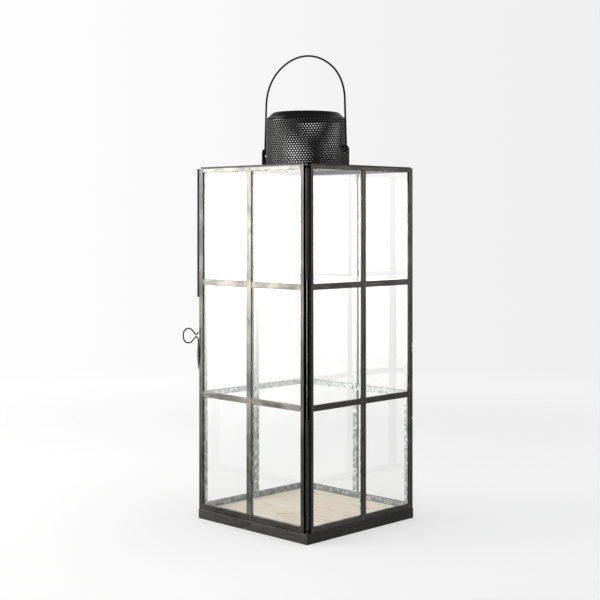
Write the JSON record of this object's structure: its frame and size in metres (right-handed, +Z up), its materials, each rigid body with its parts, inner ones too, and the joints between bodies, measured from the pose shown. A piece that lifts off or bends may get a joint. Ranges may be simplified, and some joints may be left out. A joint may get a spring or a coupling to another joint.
{
  "type": "candle lantern",
  "caption": "Tall square glazed candle lantern with a hinged glass door, wooden floor, round vented chimney and a swinging wire bail.",
  "frame": {"origin": "centre of the base tray's underside, on the surface the lantern stands on", "axes": "+Z up towards the bail, -Y out through the door, +X towards the side that carries the hinge"},
  "size_m": [0.1839, 0.1839, 0.5203],
  "materials": {
    "dark_frame": "blackened metal strip with a satin brown patina",
    "dark_sheet": "blackened sheet, satin",
    "dark_tube": "blackened drawn tube, satin",
    "dark_wire": "blackened wire, satin",
    "black_sheet": "black satin coated sheet",
    "wood": "pale bare wood board",
    "glass": "clear flat glass"
  },
  "bodies": {
    "lantern": {"back_bottom_rail": "dark_frame", "back_lower_bar_a": "dark_frame", "back_lower_bar_b": "dark_frame", "back_mullion": "dark_frame", "back_panes": "glass", "back_stile_a": "dark_frame", "back_stile_b": "dark_frame", "back_top_rail": "dark_frame", "back_upper_bar_a": "dark_frame", "back_upper_bar_b": "dark_frame", "bail_ear_left": "black_sheet", "bail_ear_right": "black_sheet", "base_board": "wood", "base_tray": "dark_sheet", "chimney_band": "black_sheet", "chimney_cap": "black_sheet", "hinge_barrel_lower": "dark_tube", "hinge_barrel_upper": "dark_tube", "left_bottom_rail": "dark_frame", "left_lower_bar_a": "dark_frame", "left_lower_bar_b": "dark_frame", "left_mullion": "dark_frame", "left_panes": "glass", "left_stile_a": "dark_frame", "left_stile_b": "dark_frame", "left_top_rail": "dark_frame", "left_upper_bar_a": "dark_frame", "left_upper_bar_b": "dark_frame", "right_bottom_rail": "dark_frame", "right_lower_bar_a": "dark_frame", "right_lower_bar_b": "dark_frame", "right_mullion": "dark_frame", "right_panes": "glass", "right_stile_a": "dark_frame", "right_stile_b": "dark_frame", "right_top_rail": "dark_frame", "right_upper_bar_a": "dark_frame", "right_upper_bar_b": "dark_frame", "top_plate": "dark_sheet"},
    "door": {"door_bottom_rail": "dark_frame", "door_edge_tube": "dark_tube", "door_lower_bar_a": "dark_frame", "door_lower_bar_b": "dark_frame", "door_mullion": "dark_frame", "door_panes": "glass", "door_stile_a": "dark_frame", "door_stile_b": "dark_frame", "door_top_rail": "dark_frame", "door_upper_bar_a": "dark_frame", "door_upper_bar_b": "dark_frame", "hinge_pin_upper": "dark_wire", "hinge_pin_lower": "dark_wire", "latch_loop": "dark_wire"},
    "bail": {"bail_handle": "dark_wire"}
  },
  "joints": [
    {"name": "door_swing", "type": "hinge", "parent": "lantern", "child": "door", "pos_m": [0.0827, -0.0823, 0.2], "axis": [0, 0, 1], "range_deg": [0, 110]},
    {"name": "bail_swing", "type": "hinge", "parent": "lantern", "child": "bail", "pos_m": [-0.0025, 0, 0.41], "axis": [1, 0, 0], "range_deg": [-97, 97]}
  ]
}
